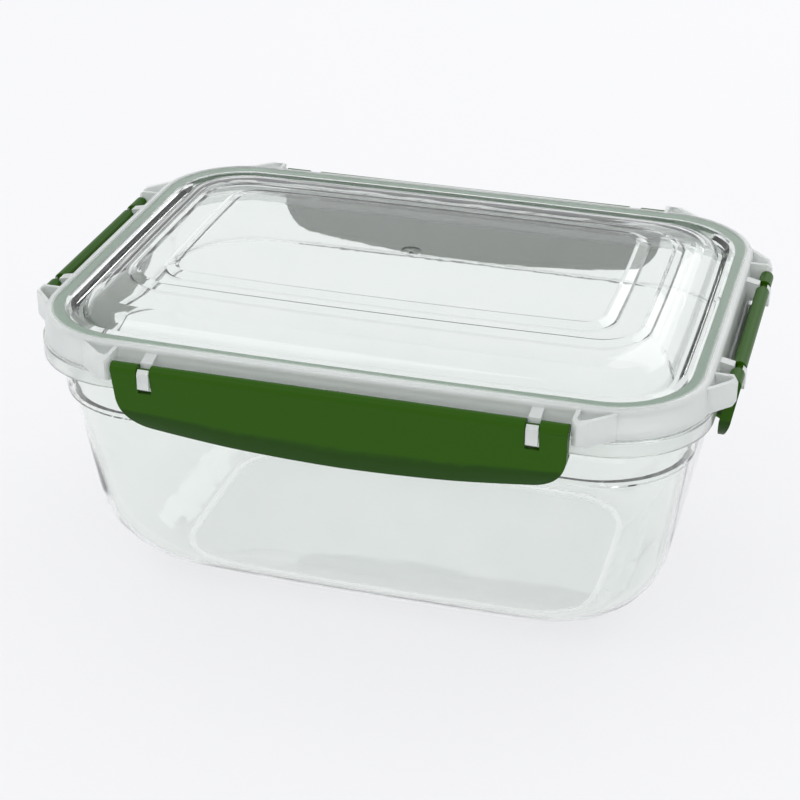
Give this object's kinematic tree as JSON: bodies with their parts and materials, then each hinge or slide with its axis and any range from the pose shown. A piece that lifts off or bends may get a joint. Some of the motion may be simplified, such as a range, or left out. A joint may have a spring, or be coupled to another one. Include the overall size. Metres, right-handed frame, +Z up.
{
  "type": "food storage box",
  "caption": "Clear rectangular food box with a rounded base, a clear lid with a seal in its rim, and green snap clips hinged on its four sides.",
  "frame": {"origin": "centre of the base, on the surface that the box stands on", "axes": "+Z up, +X along the length, +Y across the width; one long clip faces -Y, the other +Y"},
  "size_m": [0.2682, 0.2002, 0.1263],
  "materials": {
    "tub_clear": "clear, glossy",
    "lid_clear": "clear, glossy",
    "seal_rubber": "soft grey green silicone",
    "clip_green": "deep green, satin gloss"
  },
  "bodies": {
    "tub": {"tub": "tub_clear"},
    "lid": {"lid": "lid_clear", "seal": "seal_rubber"},
    "clip_front": {"clip_front": "clip_green"},
    "clip_back": {"clip_back": "clip_green"},
    "clip_left": {"clip_left": "clip_green"},
    "clip_right": {"clip_right": "clip_green"}
  },
  "joints": [
    {"name": "lid_lift", "type": "slide", "parent": "tub", "child": "lid", "axis": [0, 0, 1], "range_m": [0, 0.15]},
    {"name": "clip_front_hinge", "type": "hinge", "parent": "lid", "child": "clip_front", "pos_m": [0, -0.0974, 0.1115], "axis": [-1, 0, 0], "range_deg": [0, 120]},
    {"name": "clip_back_hinge", "type": "hinge", "parent": "lid", "child": "clip_back", "pos_m": [0, 0.0974, 0.1115], "axis": [1, 0, 0], "range_deg": [0, 120]},
    {"name": "clip_left_hinge", "type": "hinge", "parent": "lid", "child": "clip_left", "pos_m": [-0.1314, 0, 0.1115], "axis": [0, 1, 0], "range_deg": [0, 120]},
    {"name": "clip_right_hinge", "type": "hinge", "parent": "lid", "child": "clip_right", "pos_m": [0.1314, 0, 0.1115], "axis": [0, -1, 0], "range_deg": [0, 120]}
  ]
}
